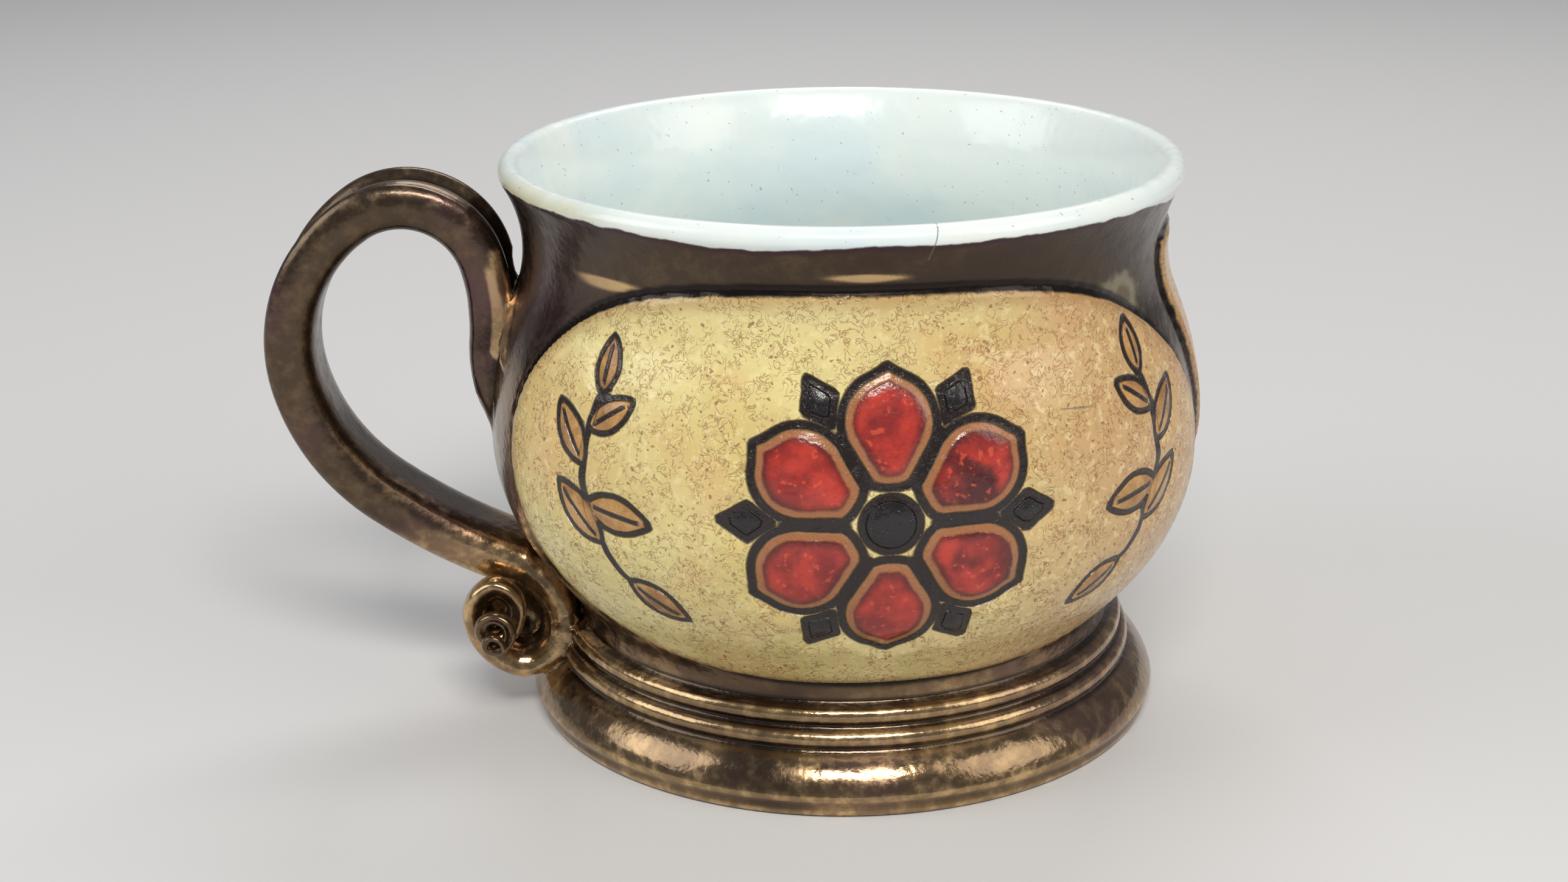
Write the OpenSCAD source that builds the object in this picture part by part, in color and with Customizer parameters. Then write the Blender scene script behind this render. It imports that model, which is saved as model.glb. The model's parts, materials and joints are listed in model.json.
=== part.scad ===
// Stoneware cup, fired in one piece: a round-bellied bowl on a stepped foot, two raised
// panels in carved grooves, and a pulled strap handle whose tail is rolled into a snail.
// Millimetres. The origin is the centre of the foot's resting plane, +Z is up, the front
// panel faces -Y and the handle stands out towards -X.

/* [Bowl] */
// Height of the cup at the top of the lip
cup_h = 85; // [82:0.5:88]
// Radius of the belly, without the raised panels
belly_r = 53.2; // [52:0.1:54]
// Height of the widest place of the belly
belly_z = 44; // [42:0.5:46]
// Radius of the belly's side curve below its widest place
belly_lower_arc = 31; // [29:0.5:33]
// Radius of the belly's side curve above its widest place
belly_upper_arc = 50; // [47:0.5:53]
// Radius of the neck at its narrowest
neck_r = 47.3; // [46.5:0.1:48]
// Height of the narrowest place of the neck
neck_z = 72.2; // [71:0.2:73]
// Radius of the neck's hollow side curve
neck_arc = 19.5; // [18:0.5:21]
// Radius of the rolled lip's section; the wall is twice as thick
lip_r = 1.8; // [1.6:0.1:2.1]

/* [Foot] */
// Radius of the waist between bowl and foot
waist_r = 41; // [40.5:0.1:41.5]
// Height of the waist
waist_z = 15.7; // [15.4:0.1:16]
// Radius of the waist's hollow side curve
waist_arc = 5.3; // [4.8:0.1:5.8]
// Radius of the foot where it rests on the table
foot_r = 47.7; // [47:0.1:48.2]
// Height of the bowl's floor above the table
floor_z = 9; // [8.5:0.1:9.5]
// Radius of the recess turned into the underside
recess_r = 42.5; // [40:0.5:43.5]
// Depth of the recess turned into the underside
recess_depth = 2.6; // [2:0.1:3]

/* [Panels] */
// How far a panel stands out of the wall
panel_rise = 0.9; // [0.6:0.1:1.1]
// Height of the middle of both panels
panel_z = 47; // [46.5:0.1:47.5]
// Half of a panel's height
panel_half_h = 28.6; // [28:0.1:29]
// Half of the front panel's width, in degrees round the cup
panel_half_turn = 67; // [62:1:68]
// Width of the dark groove round a panel
groove_w = 1.3; // [1:0.1:1.6]
// Depth of the carved grooves
groove_depth = 0.6; // [0.4:0.1:0.8]

/* [Handle] */
// Width of the strap
strap_w = 14.7; // [13:0.1:16]
// Thickness of the strap at its beads
strap_t = 7.2; // [6.6:0.1:7.6]
// Turn of the handle's plane towards the front, in degrees
handle_turn = 3.8; // [2:0.1:5]
// Degrees of turn between the rings of the strap
strap_step = 7; // [5:1:10]

/* [Snail] */
// Number of turns of the rolled tail
snail_turns = 3; // [2.75:0.25:3]
// Radius of the rolled tail's first turn
snail_r = 9; // [8.6:0.1:9.2]
// How far the roll's middle is pushed out sideways
snail_push = 9.6; // [9:0.1:10]
// Number of steps in one turn of the rolled tail
snail_steps = 15; // [14:1:20]

/* [Hidden] */
$fn = 96;
wall = 2 * lip_r;
bronze = [0.33, 0.26, 0.18];

function unit(v) = v / norm(v);
function mix(a, b, t) = a + (b - a) * t;
function on_arc(centre, radius, angle) = centre + radius * [cos(angle), sin(angle)];

// Direction of the straight run that touches a round curve (centre a, radius ra) and the
// hollow curve beyond it (centre b, radius rb), as the angle of its outward normal
function run_normal(a, ra, b, rb, side) =
    let (v = b - a)
    atan2(v[1], v[0]) + side * acos((ra + rb) / norm(v));

lower_c = [belly_r - belly_lower_arc, belly_z];
upper_c = [belly_r - belly_upper_arc, belly_z];
waist_c = [waist_r + waist_arc, waist_z];
neck_c = [neck_r + neck_arc, neck_z];
lower_run = run_normal(lower_c, belly_lower_arc, waist_c, waist_arc, 1);
upper_run = run_normal(upper_c, belly_upper_arc, neck_c, neck_arc, -1);
lip_z = cup_h - lip_r;
lip_x = neck_c[0] - sqrt(pow(neck_arc + lip_r, 2) - pow(lip_z - neck_z, 2));
lip_c = [lip_x, lip_z];
lip_side = unit(lip_c - neck_c);
// How far the ends of the straight runs are tucked inside the curves they touch
tuck = 0.001;

// Section of the bowl from the waist to the lip, as if solid, with its side moved out by
// grow; open_top carries it on upwards, as the hollow inside needs
module bowl_section(grow, open_top = false) {
    lower_low = on_arc(lower_c, belly_lower_arc + grow - tuck, lower_run);
    upper_high = on_arc(upper_c, belly_upper_arc + grow - tuck, upper_run);
    top = cup_h + 5;
    difference() {
        union() {
            polygon(concat(
                [
                    [0, waist_z],
                    [waist_r + grow, waist_z],
                    on_arc(waist_c, waist_arc - grow, lower_run + 180),
                    lower_low,
                    [belly_r + grow, belly_z],
                    upper_high,
                    on_arc(neck_c, neck_arc - grow, upper_run + 180),
                    [neck_r + grow, neck_z],
                    neck_c + (neck_arc - grow) * lip_side,
                    lip_c
                ],
                open_top ? [[lip_x, top], [0, top]] : [[0, lip_z]]
            ));
            intersection() {
                translate(lower_c) circle(belly_lower_arc + grow);
                translate([0, lower_low[1] - 1]) square([belly_r + 5, belly_z - lower_low[1] + 1]);
            }
            intersection() {
                translate(upper_c) circle(belly_upper_arc + grow);
                translate([0, belly_z]) square([belly_r + 5, upper_high[1] - belly_z + 1]);
            }
        }
        translate(waist_c) circle(waist_arc - grow);
        translate(neck_c) circle(neck_arc - grow);
    }
}

// Turns a section round the cup's axis, starting beside the handle, where no panel crosses
// the start
module turn() {
    rotate([0, 0, 157]) rotate_extrude() children();
}

// Section of the stepped foot: flange, two beads and the grooves under them
module foot_section() {
    flange_arc = 8.6;
    flange_c = [40.2, 0.9];
    upper_bead = [waist_r + 1, 13];
    lower_bead = [waist_r + 2.1, 9.9];
    bead_r = 1.5;
    difference() {
        union() {
            square([waist_r, waist_z + 0.5]);
            translate([0, lower_bead[1] - bead_r]) square([lower_bead[0], 2 * bead_r]);
            translate(upper_bead) circle(bead_r);
            translate(lower_bead) circle(bead_r);
            intersection() {
                translate(flange_c) circle(flange_arc);
                polygon([[0, 0], [foot_r, 0], [foot_r + 0.9, 3.2], [foot_r + 2, 9], [0, 9]]);
            }
        }
        translate([waist_r + 2.6, 11.4]) circle(0.9);
        translate(waist_c) circle(waist_arc);
    }
}

// Section of the hollow inside the bowl, carried on above the lip
module hollow_section() {
    corner = waist_z - floor_z;
    floor_r = waist_r - wall - corner;
    bowl_section(-wall, open_top = true);
    translate([0, floor_z]) square([floor_r, corner]);
    intersection() {
        translate([floor_r, waist_z]) circle(corner);
        translate([0, floor_z]) square([waist_r - wall, corner]);
    }
}

// Section of the recess in the underside
module recess_section() {
    rim = recess_r + 0.5;
    polygon([[0, -1], [rim + 1, -1], [rim, 0], [rim - 2.5, recess_depth], [0, recess_depth]]);
}

// Half of the front panel's width at a height given by the angle a, from -90 at its bottom
// to 90 at its top: the ends are fuller below the middle than above it
function front_half(a) = panel_half_turn * pow(cos(a), a > 0 ? 0.7 : 0.5);
function front_middle(a) = 6 - 3 * sin(a);

// Edges of the panels, as [left, right] in degrees round the cup from the front; the back
// panel starts upright, a narrow band past the front panel, and its other end is the front
// panel's mirrored at the handle
handle_at = -90 - handle_turn;
function front_edges(a) = [front_middle(a) - front_half(a), front_middle(a) + front_half(a)];
function back_edges(a) = [80, 360 + 2 * handle_at - front_edges(a)[0]];

// Wedge-shaped block that reaches from inside the wall to well outside it over one panel,
// grown by a margin on all sides
module panel_wedge(back, margin) {
    steps = 16;
    across = 3;
    margin_turn = margin / belly_r * 180 / PI;
    rows = [for (i = [0 : steps]) -84 + 168 * i / steps];
    edges = [for (a = rows) (back ? back_edges(a) : front_edges(a)) + [-margin_turn, margin_turn]];
    heights = [for (a = rows) panel_z + (panel_half_h + margin) * sin(a)];
    n = across + 1;
    count = (steps + 1) * n;
    points = [
        for (r = [30, 70]) for (i = [0 : steps]) for (j = [0 : across])
            let (turn = mix(edges[i][0], edges[i][1], j / across))
            [r * sin(turn), -r * cos(turn), heights[i]]
    ];
    function at(layer, i, j) = layer * count + i * n + j;
    function patch(a, b, c, d) = [[a, b, c], [a, c, d]];
    faces = [
        for (i = [0 : steps - 1]) for (j = [0 : across - 1]) for (t = concat(
            patch(at(1, i, j), at(1, i + 1, j), at(1, i + 1, j + 1), at(1, i, j + 1)),
            patch(at(0, i, j), at(0, i, j + 1), at(0, i + 1, j + 1), at(0, i + 1, j))
        )) t,
        for (i = [0 : steps - 1]) for (t = concat(
            patch(at(0, i, 0), at(0, i + 1, 0), at(1, i + 1, 0), at(1, i, 0)),
            patch(at(0, i, across), at(1, i, across), at(1, i + 1, across), at(0, i + 1, across))
        )) t,
        for (j = [0 : across - 1]) for (t = concat(
            patch(at(0, 0, j), at(1, 0, j), at(1, 0, j + 1), at(0, 0, j + 1)),
            patch(at(0, steps, j), at(0, steps, j + 1), at(1, steps, j + 1), at(1, steps, j))
        )) t
    ];
    polyhedron(points, faces);
}

// Ring-shaped layer of the bowl's side between two distances from the plain wall, at the
// height of the panels
module side_layer(from, to) {
    low = panel_z - panel_half_h - groove_w;
    turn() intersection() {
        difference() {
            bowl_section(to);
            bowl_section(from);
        }
        translate([0, low]) square([belly_r + 10, 2 * (panel_z - low)]);
    }
}

// Panel standing out of the wall, with its root sunk into it
module raised_panel(back) {
    intersection() {
        side_layer(-1.2, panel_rise);
        panel_wedge(back, 0);
    }
}

// Cutter for one panel's groove: everything over the panel and its rim down to the groove's
// bottom, which the raised panel then fills again up to the rim
module panel_groove(back) {
    difference() {
        panel_wedge(back, groove_w);
        turn() bowl_section(-groove_depth);
    }
}

// Thrown pot: bowl, foot and rolled lip, turned from one section
module pot() {
    turn() {
        difference() {
            union() {
                bowl_section(0);
                foot_section();
            }
            hollow_section();
            recess_section();
        }
        translate(lip_c) circle(lip_r);
    }
}

// Pot with its two raised panels, each in its carved groove
module panelled_pot() {
    difference() {
        pot();
        panel_groove(false);
        panel_groove(true);
    }
    raised_panel(false);
    raised_panel(true);
}

// Arcs of the handle's middle line, from inside the wall at the top joint round the loop and
// round the bend at the lower joint into the rolled tail, as [radius, turn in degrees]; a
// turn below zero is clockwise as seen from the front
strap_arcs = [
    [22, -38], [26.6, 27.5], [12.25, 107.4], [23.5, 69.8], [32, 39.2], [83.3, 15.5],
    [9.87, -68.4]
];
strap_start = [-50.5, 42.9];
strap_heading = 117;

// Half of the strap's section, from the middle of its outer face to the middle of its inner
// face, as fractions of half its width and of its thickness: a low ridge between two beads
strap_half = [
    [0, 0.4], [0.25, 0.33], [0.42, 0.22], [0.6, 0.38], [0.78, 0.5],
    [0.93, 0.36], [1, 0.03], [0.86, -0.36], [0.45, -0.5]
];
half = len(strap_half);
// Half of the tail's section, a rounded band with as many points
tail_half = [
    for (k = [0 : half - 1])
        let (a = k * 180 / (half - 0.5))
        [pow(sin(a), 0.8), 0.5 * sign(cos(a)) * pow(abs(cos(a)), 0.8)]
];

// Point and heading of the middle line after a turn about an arc's centre, and at the start
// of each arc
function turned(state, radius, turn) =
    let (
        a = state[1],
        b = state[1] + turn,
        r = radius * sign(turn)
    )
    [state[0] + r * [sin(b) - sin(a), cos(a) - cos(b)], b];
function arc_start(i) =
    i == 0 ? [strap_start, strap_heading]
    : turned(arc_start(i - 1), strap_arcs[i - 1][0], strap_arcs[i - 1][1]);

// How far the tail's outer face leans to the side of the bowl, as a share of its thickness
tail_lean = 0.5;

// Closed run of points round the handle at one place of its middle line; side moves it along
// Y, and roll goes from 0 for the strap's section to 1 for the tail's
function handle_ring(state, wide, thick, side, roll) =
    let (out = [sin(state[1]), -cos(state[1])])
    [
        for (k = [0 : 2 * half - 2])
            let (
                i = k < half ? k : 2 * half - 1 - k,
                h = mix(strap_half[i], tail_half[i], roll),
                q = state[0] + out * thick * h[1],
                lean = roll * tail_lean * thick * h[1]
            )
            [q[0], side + lean + (k < half ? -1 : 1) * wide / 2 * h[0], q[1]]
    ];

// Tables of the rolled tail, as [turns, value], turns counted from the side next to the bowl
// downwards and outwards: place of the middle, outer radius as a fraction of the first
// turn's, thickness, width, and near edge as a fraction of the sideways push
tail_x = [[0, -50], [0.25, -50], [0.5, -52.4], [0.75, -53.1], [1, -53.2], [2, -52.6], [3, -52.9]];
tail_z = [[0, 13.2], [0.25, 13.2], [0.5, 15.3], [0.75, 16.2], [1, 16.3], [2, 15.8], [3, 14.4]];
tail_out = [
    [0, 1.08], [0.12, 0.98], [0.25, 0.88], [0.38, 0.76], [0.5, 0.66], [0.62, 0.69],
    [0.75, 0.73], [0.87, 0.64], [1, 0.5], [1.12, 0.44], [1.25, 0.41],
    [1.5, 0.367], [1.75, 0.333], [2, 0.31], [2.5, 0.244], [3, 0.178]
];
tail_thick = [
    [0, 7], [0.25, 5.8], [0.5, 4.4], [1, 3.3], [1.5, 2.5], [2, 2], [2.5, 1.5], [3, 0.7]
];
tail_wide = [
    [0, 15], [0.2, 14], [0.35, 10.5], [0.5, 7.4], [0.65, 5.6], [0.8, 5], [1, 4.6],
    [1.3, 3.4], [1.5, 3.2], [2, 2.7], [2.5, 2.3], [3, 1.7]
];
tail_near = [
    [0, 0.135], [0.5, 0.25], [1, 0.458], [1.5, 0.667], [2, 0.875], [2.5, 1.04], [3, 1.125]
];

function tail_side(s) = -9.6 - snail_push * lookup(s, tail_near) + lookup(s, tail_wide) / 2;
function tail_state(s) =
    let (middle = snail_r * lookup(s, tail_out) - lookup(s, tail_thick) / 2)
    [[lookup(s, tail_x), lookup(s, tail_z)] + middle * [cos(360 * s), -sin(360 * s)], -90 - 360 * s];

// Rings of the strap, whose section, width and thickness pass into the tail's in the last arc
strap_rings = [
    for (i = [0 : len(strap_arcs) - 1])
        let (
            arc = strap_arcs[i],
            steps = ceil(abs(arc[1]) / strap_step)
        )
        for (j = [(i == 0 ? 0 : 1) : steps])
            let (
                state = j == 0 ? arc_start(i) : turned(arc_start(i), arc[0], arc[1] * j / steps),
                bend = i == len(strap_arcs) - 1 ? j / steps : 0
            )
            handle_ring(
                state,
                mix(strap_w, lookup(0, tail_wide), bend),
                i == 0 ? strap_t * mix(0.25, 1, j / steps) : mix(strap_t, lookup(0, tail_thick), bend),
                mix(0, tail_side(0), bend),
                bend
            )
];
tail_count = ceil(snail_steps * snail_turns);
tail_rings = [
    for (i = [1 : tail_count])
        let (s = snail_turns * i / tail_count)
        handle_ring(tail_state(s), lookup(s, tail_wide), lookup(s, tail_thick), tail_side(s), 1)
];

// Solid skin over a list of rings with the same number of points, closed at both ends
module skin(rings) {
    n = len(rings[0]);
    last = len(rings) - 1;
    sides = [
        for (i = [0 : last - 1]) for (j = [0 : n - 1])
            let (
                a = i * n + j,
                b = i * n + (j + 1) % n
            )
            for (t = [[a, b, b + n], [a, b + n, a + n]]) t
    ];
    ends = [
        [for (j = [n - 1 : -1 : 0]) j],
        [for (j = [0 : n - 1]) last * n + j]
    ];
    polyhedron([for (r = rings) for (q = r) q], concat(sides, ends));
}

// Pulled strap handle, from inside the wall at the top joint round the loop, with its tail
// rolled up beside the foot and the roll's middle pushed out sideways; a plug of clay closes
// the far side of the roll
module handle() {
    skin(concat(strap_rings, tail_rings));
    translate([-49.8, 2.5, 14.6]) rotate([90, 0, 0]) cylinder(r = 6, h = 9);
}

module cup() {
    color(bronze) union() {
        union() panelled_pot();
        rotate([0, 0, handle_turn]) handle();
    }
}

cup();
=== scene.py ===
# %% [markdown]
# # A stoneware cup with a rolled handle
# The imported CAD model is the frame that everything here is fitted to. Lengths on the cup are
# written in millimetres, because a potter measures a cup that way, and `MM` turns them into
# Blender's metres. The camera, the lamps and the table are placed in metres.
# %% Load the frame
import json
import math
import bpy
import bmesh
import numpy as np
from mathutils import Matrix, Vector

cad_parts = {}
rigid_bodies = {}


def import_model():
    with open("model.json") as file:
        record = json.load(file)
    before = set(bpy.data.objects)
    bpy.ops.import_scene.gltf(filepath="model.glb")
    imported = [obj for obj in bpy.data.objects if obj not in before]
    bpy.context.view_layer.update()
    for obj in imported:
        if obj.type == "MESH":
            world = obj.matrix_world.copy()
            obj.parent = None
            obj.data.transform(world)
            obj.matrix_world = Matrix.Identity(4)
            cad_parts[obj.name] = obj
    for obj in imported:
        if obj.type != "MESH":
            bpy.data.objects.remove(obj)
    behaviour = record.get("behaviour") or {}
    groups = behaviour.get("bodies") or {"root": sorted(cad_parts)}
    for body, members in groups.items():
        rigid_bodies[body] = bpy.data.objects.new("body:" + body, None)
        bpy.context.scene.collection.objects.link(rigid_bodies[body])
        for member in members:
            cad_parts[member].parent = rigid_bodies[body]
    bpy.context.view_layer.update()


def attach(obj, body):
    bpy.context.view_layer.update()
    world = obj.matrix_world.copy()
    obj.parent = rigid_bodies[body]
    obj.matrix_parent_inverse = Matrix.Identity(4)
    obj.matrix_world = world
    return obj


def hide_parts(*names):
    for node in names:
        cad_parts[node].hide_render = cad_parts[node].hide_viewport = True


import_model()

MM = 0.001

# %% [markdown]
# ## Camera
# The camera stands a little above the cup and looks down at it by about 19 degrees, close
# enough for the round lip to show as a wide ellipse. Pan, tilt and roll are three plain turns,
# one after another, which is easier to read than one set of Euler angles.
# %% Camera
camera_data = bpy.data.cameras.new("camera")
camera_data.sensor_width = 36
camera_data.lens = 53.25
camera = bpy.data.objects.new("camera", camera_data)
bpy.context.collection.objects.link(camera)
camera.matrix_world = (
    Matrix.Translation((0, -0.33707, 0.15630))
    @ Matrix.Rotation(math.radians(1.501), 4, "Z")
    @ Matrix.Rotation(math.radians(90 - 19.149), 4, "X")
    @ Matrix.Rotation(math.radians(-0.603), 4, "Z")
)
bpy.context.scene.camera = camera

# %% [markdown]
# ## Light
# Glossy glaze shows every lamp as a highlight, so the lamps are large and few: a long soft box
# in front and above, which draws the bright bands on the belly and the foot, a square one at
# each side, and one behind that lights the rims. Energies are in watts.
# %% Lamps and world
def add_lamp(name, place, target, size, watts, colour):
    data = bpy.data.lights.new(name, "AREA")
    data.shape = "RECTANGLE"
    data.size, data.size_y = size
    data.energy = watts
    data.color = colour
    lamp = bpy.data.objects.new(name, data)
    bpy.context.collection.objects.link(lamp)
    lamp.location = place
    lamp.rotation_euler = (Vector(target) - Vector(place)).to_track_quat("-Z", "Y").to_euler()


add_lamp("key", (0.10, -0.75, 0.85), (0, 0, 0.04), (0.55, 0.22), 8.5, (1.0, 0.96, 0.9))
add_lamp("side", (-0.85, -0.25, 0.55), (0, 0, 0.04), (0.6, 0.6), 3.2, (0.96, 0.97, 1.0))
add_lamp("right", (0.75, -0.35, 0.50), (0, 0, 0.05), (0.55, 0.6), 2.4, (1.0, 0.97, 0.93))
add_lamp("back", (0.05, 0.60, 0.75), (0, 0, 0.05), (0.6, 0.3), 3.0, (1.0, 0.98, 0.96))
world = bpy.data.worlds.new("studio")
world.use_nodes = True
world.node_tree.nodes["Background"].inputs["Color"].default_value = (0.90, 0.93, 1.0, 1)
world.node_tree.nodes["Background"].inputs["Strength"].default_value = 0.24
bpy.context.scene.world = world
bpy.context.scene.view_settings.view_transform = "Standard"

# %% [markdown]
# ## Helpers for modelling
# Everything that a loaded scene leaves selected is dropped before each step. The outline of the
# pot is a chain of round arcs, as a potter's profile is, so a short helper samples an arc
# at even steps.
# %% Modelling helpers
def clear_selection():
    if bpy.context.object and bpy.context.object.mode != "OBJECT":
        bpy.ops.object.mode_set(mode="OBJECT")
    bpy.ops.object.select_all(action="DESELECT")


def choose(*objects):
    clear_selection()
    for one in objects:
        one.select_set(True)
    bpy.context.view_layer.objects.active = objects[0]


def arc(centre, radius, start, end, step=0.8):
    """Points of an arc between two angles in degrees, about `step` mm apart."""
    count = max(2, math.ceil(abs(math.radians(end - start)) * radius / step))
    angles = np.radians(np.linspace(start, end, count + 1))
    return np.stack([centre[0] + radius * np.cos(angles), centre[1] + radius * np.sin(angles)], 1)


# %% [markdown]
# ## The pot's profile
# On the wheel the wall is drawn up from a waist, swells into a round belly, closes to a neck and opens
# again to a rolled lip. Each of these is one arc that runs into the next without a corner.
# `common_line` finds the straight run that touches two arcs.
# %% Profile of the bowl
LIP_R, WALL = 1.8, 3.6
BELLY_R, BELLY_Z, LOWER_R, UPPER_R = 53.2, 44.0, 31.0, 50.0
WAIST_C, WAIST_ARC = np.array([46.3, 15.7]), 5.3
NECK_C, NECK_ARC = np.array([66.8, 72.2]), 19.5
LOWER_C = np.array([BELLY_R - LOWER_R, BELLY_Z])
UPPER_C = np.array([BELLY_R - UPPER_R, BELLY_Z])
CUP_H, FLOOR_Z = 85.0, 9.0


def common_line(a, ra, b, rb, side):
    """Angle at which the straight run between two opposite arcs leaves the first one."""
    v = b - a
    return math.degrees(math.atan2(v[1], v[0]) + side * math.acos((ra + rb) / np.hypot(*v)))


low_run = common_line(LOWER_C, LOWER_R, WAIST_C, WAIST_ARC, 1)
high_run = common_line(UPPER_C, UPPER_R, NECK_C, NECK_ARC, -1)
lip_z = CUP_H - LIP_R
lip_c = np.array([NECK_C[0] - math.sqrt((NECK_ARC + LIP_R) ** 2 - (lip_z - NECK_C[1]) ** 2), lip_z])
lip_angle = math.degrees(math.atan2(*(lip_c - NECK_C)[::-1]))


def side_profile(grow):
    """The bowl's side from the waist up to the lip, moved out by `grow`."""
    parts = [
        arc(WAIST_C, WAIST_ARC - grow, 180, low_run + 180),
        arc(LOWER_C, LOWER_R + grow, low_run, 0),
        arc(UPPER_C, UPPER_R + grow, 0, high_run),
        arc(NECK_C, NECK_ARC - grow, high_run + 180, lip_angle),
    ]
    filled = [parts[0]]
    for part in parts[1:]:
        gap = part[0] - filled[-1][-1]
        steps = math.ceil(np.hypot(*gap) / 0.8)
        filled.append(filled[-1][-1] + gap * np.linspace(0, 1, steps + 1)[1:-1, None])
        filled.append(part if steps > 1 else part[1:])
    return np.vstack(filled)


outer_side = side_profile(0)
inner_side = side_profile(-WALL)[::-1]
print("belly arcs run from", round(low_run, 1), "to", round(high_run, 1), "degrees")

# %% [markdown]
# The foot is a flared flange with two thin beads above it and one fine turned line low down.
# Where two round forms meet, the glaze fills the corner, so their outlines are joined with a
# smooth maximum instead of a sharp one.
# %% Profile of the foot
CORE_R, MEAN_R, SOFT = 41.9, 44, 0.16


def bead(z, centre, radius):
    """Radius of a round bead at the height z, and far inside it where there is no bead."""
    half = np.sqrt(np.maximum(radius ** 2 - (z - centre[1]) ** 2, 0))
    return centre[0] + half - 9 * (abs(z - centre[1]) > radius)


def foot_radius(z):
    slope = 47.7 + 0.28 * z + 1.6 * np.clip(z - 3.2, 0, None)
    flange = np.minimum(bead(z, (40.2, 0.9), 8.6), slope)
    waist = WAIST_C[0] - np.sqrt(np.maximum(WAIST_ARC ** 2 - (z - WAIST_C[1]) ** 2, 0))
    core = np.where(z > 13, waist, CORE_R)
    forms = np.stack([flange, bead(z, (43.1, 9.9), 1.5), bead(z, (42.0, 13.0), 1.45), core])
    joined = SOFT * np.log(np.exp((forms - MEAN_R) / SOFT).sum(0)) + MEAN_R
    turned_line = 0.3 * np.exp(-((z - 1.9) / 0.45) ** 2)
    return joined - turned_line


foot_z = np.concatenate([np.linspace(0.35, 4, 9), np.linspace(4.6, 15.6, 32)])
foot_side = np.stack([foot_radius(foot_z), foot_z], 1)
foot_side[-1] = outer_side[0]
underside = np.array([
    (0, 2.6), (14, 2.6), (28, 2.6), (40, 2.55), (41.2, 2.2), (42.4, 0.9),
    (43.1, 0.25), (43.8, 0.02), (45.4, 0), (46.9, 0.02), (47.5, 0.12),
])
corner = WAIST_C[1] - FLOOR_Z
floor_r = WAIST_C[0] - WAIST_ARC - WALL - corner
floor = np.concatenate([
    arc((floor_r, WAIST_C[1]), corner, 0, -90, 1.2)[1:],
    np.stack([np.array([24, 16, 8, 0]), np.full(4, FLOOR_Z)], 1),
])
lip = arc(lip_c, LIP_R, lip_angle - 180, lip_angle, 0.5)[1:-1]
profile = np.vstack([underside, foot_side, outer_side[1:], lip, inner_side[::4], floor])
print(len(profile), "points in the profile")

# %% [markdown]
# ## Turning the pot
# The pot is made as on a wheel: one vertex is extruded point by point into the profile, and
# Spin turns it round the axis. Four hundred steps keep the glossy belly free of facets and
# leave room for the carving. The doubled seam and poles are merged at the end.
# %% Spin the profile
COLUMNS = 400
clear_selection()
bpy.ops.mesh.primitive_plane_add(size=MM)
cup = bpy.context.object
cup.name = "cup_body"
bpy.ops.object.mode_set(mode="EDIT")
bpy.ops.mesh.select_all(action="SELECT")
bpy.ops.mesh.merge(type="CENTER")
bpy.ops.transform.translate(value=(profile[0][0] * MM, 0, profile[0][1] * MM))
for step in np.diff(profile, axis=0) * MM:
    bpy.ops.mesh.extrude_vertices_move(TRANSFORM_OT_translate={"value": (step[0], 0, step[1])})
bpy.ops.mesh.select_all(action="SELECT")
bpy.ops.mesh.spin(steps=COLUMNS, angle=2 * math.pi, center=(0, 0, 0), axis=(0, 0, 1))
bpy.ops.mesh.select_all(action="SELECT")
bpy.ops.mesh.remove_doubles(threshold=1e-6)
bpy.ops.mesh.normals_make_consistent(inside=False)
bpy.ops.object.mode_set(mode="OBJECT")
print("pot:", len(cup.data.polygons), "faces")

# %% [markdown]
# ## Sweeping the handle
# A pulled handle is one strip of clay. It is swept as by hand: the section's ring is extruded a
# short way along the path, over and over, and each new ring is pressed into the shape that the
# strip has there.
# %% Sweep helper
def sweep(name, rings):
    """Extrudes the first ring through all the others; each vertex moves to its nearest point."""
    clear_selection()
    bpy.ops.mesh.primitive_circle_add(vertices=len(rings[0]), radius=MM)
    piece = bpy.context.object
    piece.name = name
    for vertex, place in zip(piece.data.vertices, rings[0]):
        vertex.co = place * MM
    bpy.ops.object.mode_set(mode="EDIT")
    bpy.ops.mesh.select_all(action="SELECT")
    bpy.ops.mesh.edge_face_add()
    for before, ring in zip(rings, rings[1:]):
        shift = ring.mean(0) - before.mean(0)
        bpy.ops.mesh.extrude_region_move(TRANSFORM_OT_translate={"value": tuple(shift * MM)})
        shell = bmesh.from_edit_mesh(piece.data)
        for vertex in [v for v in shell.verts if v.select]:
            spot = np.array(vertex.co) / MM
            vertex.co = ring[((before + shift - spot) ** 2).sum(1).argmin()] * MM
    bmesh.update_edit_mesh(piece.data)
    bpy.ops.mesh.select_all(action="SELECT")
    bpy.ops.mesh.normals_make_consistent(inside=False)
    bpy.ops.object.mode_set(mode="OBJECT")
    print(name, len(piece.data.polygons), "faces")
    return piece


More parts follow.
